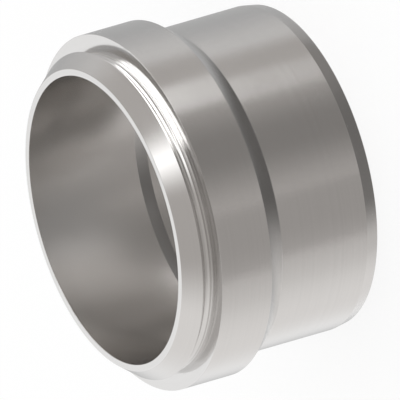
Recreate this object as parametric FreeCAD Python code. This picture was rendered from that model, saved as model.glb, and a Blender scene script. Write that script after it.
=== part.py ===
import FreeCAD, Part
import math
import os

# A turned ferrule. It stands on its rear end: +Z runs along the axis towards the nose,
# and the origin is the centre of the rear end face. Sizes are in millimetres and degrees.

# Bores
hub_bore_dia = 60.0        # bore of the thick hub
hub_bore_length = 24.4     # from the nose face back to the step
step_height = 2.0          # radial step from the hub bore out to the skirt bore
step_angle = 30.0          # slope of that step, from the axis
mouth_chamfer = 0.4        # edge break at the rear mouth

# Nose
face_width = 1.4           # radial width of the flat nose face
nose_length = 3.4
nose_angle = 38.0          # half angle of the nose cone

# Groove behind the nose, the low ridge behind it and the relief up to the collar
groove_depth = 1.1         # below the nose rim
groove_floor = 0.2         # width of the floor
groove_angle = 45.0        # slope of the walls, from the axis
ridge_height = 0.4         # above the groove floor
ridge_width = 0.2          # width of the crest
relief_length = 0.95       # from the crest back to the collar face
relief_drop = 0.5          # fall from the crest to the foot of the collar face

# Collar and skirt
collar_length = 11.5
shoulder_height = 3.2      # the collar's height above the skirt
shoulder_angle = 37.0      # slope of the collar's rear shoulder, from the axis
skirt_wall = 1.8
tail_length = 2.6          # the taper at the rear end of the skirt
tail_angle = 10.5          # its slope, from the axis
overall_length = 44.3

hub_bore_radius = hub_bore_dia / 2
skirt_bore_radius = hub_bore_radius + step_height
skirt_radius = skirt_bore_radius + skirt_wall
collar_radius = skirt_radius + shoulder_height


def run_of(rise, angle):
    """Length along the axis of a slope with this rise and angle from the axis."""
    return rise / math.tan(math.radians(angle))


def rise_of(run, angle):
    """Rise of a slope with this length along the axis and angle from the axis."""
    return run * math.tan(math.radians(angle))


def at(radius, depth):
    """Point of the section at a radius and a depth behind the nose face."""
    return FreeCAD.Vector(radius, 0, overall_length - depth)


def nose_outline():
    """Flat face and cone of the nose."""
    face_radius = hub_bore_radius + face_width
    rim_radius = face_radius + rise_of(nose_length, nose_angle)
    return [at(face_radius, 0), at(rim_radius, nose_length)]


def groove_outline(rim_radius, rim_depth):
    """Groove with sloped walls, the ridge behind it and the relief before the collar."""
    floor_radius = rim_radius - groove_depth
    floor_start = rim_depth + run_of(groove_depth, groove_angle)
    floor_end = floor_start + groove_floor
    crest_radius = floor_radius + ridge_height
    crest_start = floor_end + run_of(ridge_height, groove_angle)
    crest_end = crest_start + ridge_width
    return [
        at(floor_radius, floor_start),
        at(floor_radius, floor_end),
        at(crest_radius, crest_start),
        at(crest_radius, crest_end),
        at(crest_radius - relief_drop, crest_end + relief_length),
    ]


def collar_outline(face_depth):
    """Collar face, collar, rear shoulder, skirt and the taper at its end."""
    shoulder_start = face_depth + collar_length
    shoulder_end = shoulder_start + run_of(shoulder_height, shoulder_angle)
    tail_start = overall_length - tail_length
    tail_radius = skirt_radius - rise_of(tail_length, tail_angle)
    return [
        at(collar_radius, face_depth),
        at(collar_radius, shoulder_start),
        at(skirt_radius, shoulder_end),
        at(skirt_radius, tail_start),
        at(tail_radius, overall_length),
    ]


def bore_outline():
    """Rear mouth, skirt bore, step and hub bore, from the rear end to the nose face."""
    step_end = hub_bore_length + run_of(step_height, step_angle)
    return [
        at(skirt_bore_radius + mouth_chamfer, overall_length),
        at(skirt_bore_radius, overall_length - mouth_chamfer),
        at(skirt_bore_radius, step_end),
        at(hub_bore_radius, hub_bore_length),
        at(hub_bore_radius, 0),
    ]


def ferrule():
    """One turned solid: the half section swept once round the axis."""
    nose = nose_outline()
    rim = nose[-1]
    groove = groove_outline(rim.x, overall_length - rim.z)
    collar = collar_outline(overall_length - groove[-1].z)
    points = nose + groove + collar + bore_outline()
    section = Part.Face(Part.makePolygon(points + points[:1]))
    axis = FreeCAD.Vector(0, 0, 1)
    return section.revolve(FreeCAD.Vector(0, 0, 0), axis, 360)


os.makedirs("parts", exist_ok=True)
shape = ferrule()
shape.exportStep("parts/ferrule.step")
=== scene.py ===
import math

import bpy
from mathutils import Matrix, Vector

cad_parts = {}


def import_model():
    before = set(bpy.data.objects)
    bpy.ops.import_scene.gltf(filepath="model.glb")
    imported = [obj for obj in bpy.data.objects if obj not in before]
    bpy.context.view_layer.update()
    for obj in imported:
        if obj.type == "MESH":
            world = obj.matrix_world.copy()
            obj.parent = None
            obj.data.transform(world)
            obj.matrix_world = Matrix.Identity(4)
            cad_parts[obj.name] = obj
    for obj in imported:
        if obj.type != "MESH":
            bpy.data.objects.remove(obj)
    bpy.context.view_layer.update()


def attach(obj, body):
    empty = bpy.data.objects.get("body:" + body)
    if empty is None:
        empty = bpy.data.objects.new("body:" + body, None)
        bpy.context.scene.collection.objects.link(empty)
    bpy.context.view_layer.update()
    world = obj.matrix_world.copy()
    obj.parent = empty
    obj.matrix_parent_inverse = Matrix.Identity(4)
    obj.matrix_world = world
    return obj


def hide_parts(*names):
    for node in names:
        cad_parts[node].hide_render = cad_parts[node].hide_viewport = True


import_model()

MM = 0.001

# A turned steel ferrule that stands on its rear end. +Z runs along the axis towards the nose.
# Sizes are in millimetres and degrees, and become metres where a mesh or an object is made.
# A depth is measured down from the nose face.

# The ferrule's own sizes
OVERALL_LENGTH = 44.3
HUB_BORE_RADIUS = 30.0
HUB_BORE_LENGTH = 24.4
SKIRT_BORE_RADIUS = 32.0
STEP_ANGLE = 30.0
MOUTH_CHAMFER = 0.4
FACE_WIDTH = 1.4
COLLAR_FACE_DEPTH = 6.25
COLLAR_RADIUS = 37.0
COLLAR_LENGTH = 11.5
SKIRT_RADIUS = 33.8
SHOULDER_ANGLE = 37.0
TAIL_LENGTH = 2.6
TAIL_ANGLE = 10.5

# The groove behind the nose, as (radius, depth, edge radius) from the nose rim to the collar
GROOVE = [
    (34.08, 3.44, 0.05),
    (33.68, 3.86, 0.20),
    (32.73, 4.67, 0.33),
    (32.88, 5.15, 0.06),
    (33.18, 5.56, 0.07),
    (32.81, COLLAR_FACE_DEPTH, 0.53),
]

# How finely the section is drawn and spun
SEGMENTS = 480
ARC_STEPS = 5
ARC_SHARE = 0.42    # the most of a side that one arc may take
HOLD = 0.05    # from the end of an arc to the point that holds the flat beside it
HELD_SIDE = 2.4    # a side has that point if it is longer than this times the arc and its hold

# The steel's colours and finish
OUTSIDE_GREYS = ("#DDDCDB", "#E0DFDE")    # the tool's rings vary between the two
BORE_GREY = "#D9D7D5"
OUTSIDE_ROUGHNESS = 0.14
BORE_ROUGHNESS = 0.23
BORE_FACING = -0.6    # a face scores 1 when it looks straight outward and -1 straight inward
OUTSIDE_FACING = -0.3
NOISE_LOW = 0.3    # nearly all of a noise's values lie between these two
NOISE_HIGH = 0.7
RING_SPACING = 0.35    # the tool's feed is near 0.1 mm, drawn coarser so that it shows
RING_HEIGHT = 0.02
RING_STRENGTH = 0.006
RING_SHINE = 0.006    # the most that the rings add to the roughness or take from it
PATCH_SIZE = 14.0
PATCH_HEIGHT = 0.1
PATCH_STRENGTH = 0.2
PATCH_SHINE = 0.02

# The floor and the cards
FLOOR_REACH = 3000.0
FLOOR_DROP = -0.02    # just clear of the rear end, which stands on it
FLOOR_WHITE = 0.82    # the share of plain white in the floor, which lightens the shadow
CARD_STEPS = 24
WARM_BLUE = 0.8    # a warm card loses this much blue for each part of red that it gains

# The photograph's view, in which the nose points left and a little down
IMAGE_WIDTH = 400    # pixels
PIXEL = 0.2009    # the same at every depth, because the view has no perspective
TO_CAMERA = (0.0, -0.9015, 0.4328)
TO_RIGHT = (-0.2775, -0.4158, -0.8661)
FRAME_RIGHT = 96.47    # pixels from the middle of the nose face to the middle of the image
FRAME_UP = 20.3
CAMERA_DISTANCE = 400.0
CLIP_START = 10.0
CLIP_END = 10000.0


def linear(hex_colour):
    """An sRGB hex colour as linear red, green, blue and alpha."""
    values = [int(hex_colour[i:i + 2], 16) / 255 for i in (1, 3, 5)]
    return [v / 12.92 if v <= 0.04045 else ((v + 0.055) / 1.055) ** 2.4 for v in values] + [1.0]


def add(tree, kind, links=(), **settings):
    """Add a node with its properties, and link its inputs or give them their values."""
    node = tree.nodes.new(kind)
    for name, value in settings.items():
        setattr(node, name, value)
    for socket, source in dict(links).items():
        if isinstance(source, bpy.types.NodeSocket):
            tree.links.new(source, node.inputs[socket])
        else:
            node.inputs[socket].default_value = source
    return node


def bare_material(name):
    material = bpy.data.materials.new(name)
    material.use_nodes = True
    material.node_tree.nodes.clear()
    return material


def piece_of(name, verts, faces):
    mesh = bpy.data.meshes.new(name)
    mesh.from_pydata(verts, [], faces)
    piece = bpy.data.objects.new(name, mesh)
    bpy.context.scene.collection.objects.link(piece)
    return piece


def run_of(rise, angle):
    return rise / math.tan(math.radians(angle))


def rise_of(run, angle):
    return run * math.tan(math.radians(angle))


def profile():
    """The section as (radius, depth, edge radius), once round."""
    face = HUB_BORE_RADIUS + FACE_WIDTH
    collar_back = COLLAR_FACE_DEPTH + COLLAR_LENGTH
    shoulder = collar_back + run_of(COLLAR_RADIUS - SKIRT_RADIUS, SHOULDER_ANGLE)
    tail = OVERALL_LENGTH - TAIL_LENGTH
    tail_radius = SKIRT_RADIUS - rise_of(TAIL_LENGTH, TAIL_ANGLE)
    step = HUB_BORE_LENGTH + run_of(SKIRT_BORE_RADIUS - HUB_BORE_RADIUS, STEP_ANGLE)
    return [
        (face, 0.0, 0.1),
        *GROOVE,
        (COLLAR_RADIUS, COLLAR_FACE_DEPTH, 0.03),
        (COLLAR_RADIUS, collar_back, 0.05),
        (SKIRT_RADIUS, shoulder, 0.3),
        (SKIRT_RADIUS, tail, 0.3),
        (tail_radius, OVERALL_LENGTH, 0.1),
        (SKIRT_BORE_RADIUS + MOUTH_CHAMFER, OVERALL_LENGTH, 0.08),
        (SKIRT_BORE_RADIUS, OVERALL_LENGTH - MOUTH_CHAMFER, 0.08),
        (SKIRT_BORE_RADIUS, step, 0.2),
        (HUB_BORE_RADIUS, HUB_BORE_LENGTH, 0.15),
        (HUB_BORE_RADIUS, 0.0, 0.08),
    ]


def rounded(corners):
    """Replace each corner by a short arc, with a holding point just outside each end."""
    points = []
    count = len(corners)
    for i, (radius, depth, edge) in enumerate(corners):
        here = Vector((radius, depth))
        before = Vector(corners[i - 1][:2]) - here
        after = Vector(corners[(i + 1) % count][:2]) - here
        half = before.angle(after) / 2
        reach = min(edge / math.tan(half), ARC_SHARE * before.length, ARC_SHARE * after.length)
        back = before.normalized()
        onward = after.normalized()
        start = here + back * reach
        end = here + onward * reach
        middle = here + (back + onward).normalized() * (reach * math.tan(half) / math.sin(half))
        long_side = HELD_SIDE * (reach + HOLD)
        if before.length > long_side:
            points.append(start + back * HOLD)
        first = start - middle
        turn = first.angle_signed(end - middle)
        for k in range(ARC_STEPS + 1):
            points.append(middle + Matrix.Rotation(-turn * k / ARC_STEPS, 2) @ first)
        if after.length > long_side:
            points.append(end + onward * HOLD)
    return points


def spun(name, points):
    """Spin a closed outline of (radius, depth) points round the axis into a piece."""
    verts = []
    faces = []
    rings = len(points)
    for j in range(SEGMENTS):
        angle = 2 * math.pi * j / SEGMENTS
        for p in points:
            verts.append((p.x * math.cos(angle) * MM, p.x * math.sin(angle) * MM,
                          (OVERALL_LENGTH - p.y) * MM))
    for j in range(SEGMENTS):
        k = (j + 1) % SEGMENTS
        for i in range(rings):
            n = (i + 1) % rings
            faces.append((j * rings + i, j * rings + n, k * rings + n, k * rings + i))
    piece = piece_of(name, verts, faces)
    piece.data.validate()
    piece.data.shade_smooth()
    return piece


def turned_stainless_steel():
    """Stainless steel, turned and then polished outside: a satin, faintly warm grey."""
    material = bare_material("turned_stainless_steel")
    tree = material.node_tree
    place = add(tree, "ShaderNodeTexCoord")
    split = add(tree, "ShaderNodeSeparateXYZ", {0: place.outputs["Object"]})
    across = add(tree, "ShaderNodeCombineXYZ", {
        "X": split.outputs["X"], "Y": split.outputs["Y"], "Z": 0.0})
    radius = add(tree, "ShaderNodeVectorMath", {0: across.outputs[0]}, operation="LENGTH")
    # The tool's rings depend on the radius and the height alone, so they run round the axis.
    section = add(tree, "ShaderNodeCombineXYZ", {
        "X": radius.outputs["Value"], "Y": split.outputs["Z"], "Z": 0.0})
    rings = add(tree, "ShaderNodeTexNoise", {
        "Vector": section.outputs[0], "Scale": 1 / (RING_SPACING * MM), "Detail": 2.0,
        "Roughness": 0.6})
    # Polishing leaves wide soft patches.
    patches = add(tree, "ShaderNodeTexNoise", {
        "Vector": place.outputs["Object"], "Scale": 1 / (PATCH_SIZE * MM), "Detail": 3.0,
        "Roughness": 0.5})
    # The bore keeps its tool finish: faces that look at the axis are rougher and a little
    # darker and warmer, and the polished outside gives a sharper reflection.
    inward = add(tree, "ShaderNodeVectorMath", {
        0: place.outputs["Normal"], 1: across.outputs[0]}, operation="DOT_PRODUCT")
    outward = add(tree, "ShaderNodeMath", {
        0: inward.outputs["Value"], 1: radius.outputs["Value"]}, operation="DIVIDE")
    polished = add(tree, "ShaderNodeMapRange", {
        "Value": outward.outputs[0], "From Min": BORE_FACING, "From Max": OUTSIDE_FACING})
    finish = add(tree, "ShaderNodeMapRange", {
        "Value": polished.outputs[0], "To Min": BORE_ROUGHNESS, "To Max": OUTSIDE_ROUGHNESS})
    patch_shine = add(tree, "ShaderNodeMapRange", {
        "Value": patches.outputs["Fac"], "From Min": NOISE_LOW, "From Max": NOISE_HIGH,
        "To Min": -PATCH_SHINE, "To Max": PATCH_SHINE})
    ring_shine = add(tree, "ShaderNodeMapRange", {
        "Value": rings.outputs["Fac"], "From Min": NOISE_LOW, "From Max": NOISE_HIGH,
        "To Min": -RING_SHINE, "To Max": RING_SHINE})
    shine = add(tree, "ShaderNodeMath", {
        0: patch_shine.outputs[0], 1: ring_shine.outputs[0]}, operation="ADD")
    roughness = add(tree, "ShaderNodeMath", {
        0: finish.outputs[0], 1: shine.outputs[0]}, operation="ADD")
    tint = add(tree, "ShaderNodeMapRange", {
        "Value": rings.outputs["Fac"], "From Min": NOISE_LOW, "From Max": NOISE_HIGH})
    outside = add(tree, "ShaderNodeMix", {
        0: tint.outputs[0], 6: linear(OUTSIDE_GREYS[0]), 7: linear(OUTSIDE_GREYS[1])},
        data_type="RGBA")
    colour = add(tree, "ShaderNodeMix", {
        0: polished.outputs[0], 6: linear(BORE_GREY), 7: outside.outputs[2]},
        data_type="RGBA")
    marks = add(tree, "ShaderNodeBump", {
        "Height": rings.outputs["Fac"], "Strength": RING_STRENGTH,
        "Distance": RING_HEIGHT * MM})
    swell = add(tree, "ShaderNodeBump", {
        "Height": patches.outputs["Fac"], "Strength": PATCH_STRENGTH,
        "Distance": PATCH_HEIGHT * MM, "Normal": marks.outputs[0]})
    steel = add(tree, "ShaderNodeBsdfPrincipled", {
        "Base Color": colour.outputs[2], "Metallic": 1.0, "Roughness": roughness.outputs[0],
        "Normal": swell.outputs[0]})
    add(tree, "ShaderNodeOutputMaterial", {"Surface": steel.outputs["BSDF"]})
    return material


def floor():
    """White paper: seen as the white background, less the shadow that lies on it."""
    reach = FLOOR_REACH * MM
    corners = [(x, y, FLOOR_DROP * MM) for x, y in (
        (-reach, -reach), (reach, -reach), (reach, reach), (-reach, reach))]
    material = bare_material("white_paper")
    tree = material.node_tree
    path = add(tree, "ShaderNodeLightPath")
    seen = add(tree, "ShaderNodeMath", {
        0: path.outputs["Is Camera Ray"], 1: path.outputs["Is Glossy Ray"]}, operation="ADD")
    seen = add(tree, "ShaderNodeMath", {
        0: seen.outputs[0], 1: path.outputs["Is Transmission Ray"]},
        operation="ADD", use_clamp=True)
    share = add(tree, "ShaderNodeMath", {0: seen.outputs[0], 1: FLOOR_WHITE},
                operation="MULTIPLY")
    paper = add(tree, "ShaderNodeBsdfDiffuse", {"Color": linear("#FEFEFE")})
    white = add(tree, "ShaderNodeEmission", {"Color": (1, 1, 1, 1), "Strength": 1.0})
    mix = add(tree, "ShaderNodeMixShader", {
        0: share.outputs[0], 1: paper.outputs[0], 2: white.outputs[0]})
    add(tree, "ShaderNodeOutputMaterial", {"Surface": mix.outputs[0]})
    piece = piece_of("floor", corners, [(0, 1, 2, 3)])
    piece.data.materials.append(material)
    piece.visible_glossy = False


def world():
    """An even white studio, as bright as the white background."""
    studio = bpy.data.worlds.new("white_studio")
    bpy.context.scene.world = studio
    studio.use_nodes = True
    back = studio.node_tree.nodes["Background"]
    back.inputs["Color"].default_value = (1, 1, 1, 1)
    back.inputs["Strength"].default_value = 1.0
    studio.cycles.sampling_method = "NONE"


def card_light(name, width, height, tone, edge, warmth):
    """A plain glow that fades out towards the card's four sides."""
    material = bare_material(name)
    material.cycles.emission_sampling = "NONE"
    tree = material.node_tree
    uv = add(tree, "ShaderNodeUVMap", uv_map="card")
    split = add(tree, "ShaderNodeSeparateXYZ", {0: uv.outputs[0]})
    sides = []
    for axis, size in (("X", width), ("Y", height)):
        near = add(tree, "ShaderNodeMath", {0: split.outputs[axis], 1: size / 2},
                   operation="SUBTRACT")
        away = add(tree, "ShaderNodeMath", {0: near.outputs[0]}, operation="ABSOLUTE")
        fade = add(tree, "ShaderNodeMapRange", {
            "Value": away.outputs[0], "From Min": size / 2 - edge, "From Max": size / 2,
            "To Min": 1.0, "To Max": 0.0}, interpolation_type="SMOOTHSTEP")
        sides.append(fade.outputs[0])
    cover = add(tree, "ShaderNodeMath", {0: sides[0], 1: sides[1]}, operation="MULTIPLY")
    clear = add(tree, "ShaderNodeBsdfTransparent")
    glow = add(tree, "ShaderNodeEmission", {
        "Color": (1 + warmth, 1, 1 - WARM_BLUE * warmth, 1), "Strength": tone})
    mix = add(tree, "ShaderNodeMixShader", {
        0: cover.outputs[0], 1: clear.outputs[0], 2: glow.outputs[0]})
    add(tree, "ShaderNodeOutputMaterial", {"Surface": mix.outputs[0]})
    return material


def card(name, azimuth, polar, width, height, tone, edge, distance, roll=0.0, warmth=0.0):
    """A curved card or soft box round the ferrule, seen from it as width by height degrees.

    The azimuth runs from the camera's side towards +X, and the polar angle from +Z. The edge
    is how many degrees a side fades over, and the roll turns the card about its middle. A
    tone of 1 is as bright as the white background, and the warmth adds that share of red."""
    turn = math.radians(roll)
    centre = OVERALL_LENGTH / 2
    verts = []
    places = []
    for i in range(CARD_STEPS + 1):
        for j in range(CARD_STEPS + 1):
            x = width * (i / CARD_STEPS - 0.5)
            y = height * (j / CARD_STEPS - 0.5)
            a = math.radians(azimuth + x * math.cos(turn) - y * math.sin(turn))
            p = polar + x * math.sin(turn) + y * math.cos(turn)
            p = math.radians(min(max(p, 0.0), 180.0))
            verts.append((distance * math.sin(p) * math.sin(a) * MM,
                          -distance * math.sin(p) * math.cos(a) * MM,
                          (distance * math.cos(p) + centre) * MM))
            places.append((i / CARD_STEPS * width, j / CARD_STEPS * height))
    row = CARD_STEPS + 1
    faces = [(i * row + j, i * row + j + 1, (i + 1) * row + j + 1, (i + 1) * row + j)
             for i in range(CARD_STEPS) for j in range(CARD_STEPS)]
    piece = piece_of(name, verts, faces)
    layer = piece.data.uv_layers.new(name="card")
    for loop in piece.data.loops:
        layer.data[loop.index].uv = places[loop.vertex_index]
    piece.data.materials.append(card_light(name, width, height, tone, edge, warmth))
    piece.visible_camera = False
    piece.visible_diffuse = False


def camera():
    """The photograph's view: 25.65 degrees above the front, rolled until the nose points left."""
    back = Vector(TO_CAMERA).normalized()
    up = back.cross(Vector(TO_RIGHT).normalized()).normalized()
    right = up.cross(back)
    pixel = PIXEL * MM
    nose = Vector((0, 0, OVERALL_LENGTH * MM))
    place = nose + right * FRAME_RIGHT * pixel + up * FRAME_UP * pixel
    place += back * CAMERA_DISTANCE * MM
    data = bpy.data.cameras.new("camera")
    data.type = "ORTHO"
    data.ortho_scale = IMAGE_WIDTH * pixel
    data.clip_start = CLIP_START * MM
    data.clip_end = CLIP_END * MM
    view = bpy.data.objects.new("camera", data)
    view.matrix_world = Matrix((
        (right.x, up.x, back.x, place.x), (right.y, up.y, back.y, place.y),
        (right.z, up.z, back.z, place.z), (0, 0, 0, 1)))
    bpy.context.scene.collection.objects.link(view)
    bpy.context.scene.camera = view


# The ferrule
ferrule = spun("turned_ferrule", rounded(profile()))
ferrule.data.materials.append(turned_stainless_steel())
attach(ferrule, "root")
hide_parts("ferrule")

# The stage, with its cards and soft boxes from the farthest to the nearest
floor()
world()
card("room", 37, 98, 282, 260, 0.46, edge=8, distance=2000, warmth=0.05)
card("ceiling", 203, -4, 195, 75, 0.37, edge=28, distance=1900, warmth=0.05)
card("dark_floor", -122, 163, 344, 89, 0.04, edge=45, distance=1800, warmth=0.015)
card("side_screen", 256, 71, 111, 212, 0.84, edge=45, distance=1700, warmth=0.024)
card("side_card", 126, 103, 78, 78, 0.64, edge=15, distance=1650, warmth=0.02)
card("front_low", -38, 103, 51, 70, 0.38, edge=9, distance=1600, warmth=0.05)
card("front_gap", 22, 110, 83, 124, 0.25, edge=37, distance=1550, warmth=0.052)
card("dark_edge", 43, 165, 269, 107, 0.15, edge=34, distance=1500, warmth=0.04)
card("far_card", 159, 146, 123, 163, 0.48, edge=45, distance=1450)
card("wide_soft_box", 75, 80, 91, 40, 3.5, edge=8, distance=1400, roll=20)
card("key_lamp", 33, 44, 65, 46, 3.15, edge=42, distance=1350)
card("strip_lamp", 62, 112, 28, 7, 4.01, edge=8, distance=1300)
card("rear_glow", -75, 134, 74, 86, 0.61, edge=43, distance=1250, warmth=0.034)
camera()

bpy.context.scene.view_settings.view_transform = "Standard"
bpy.context.view_layer.update()
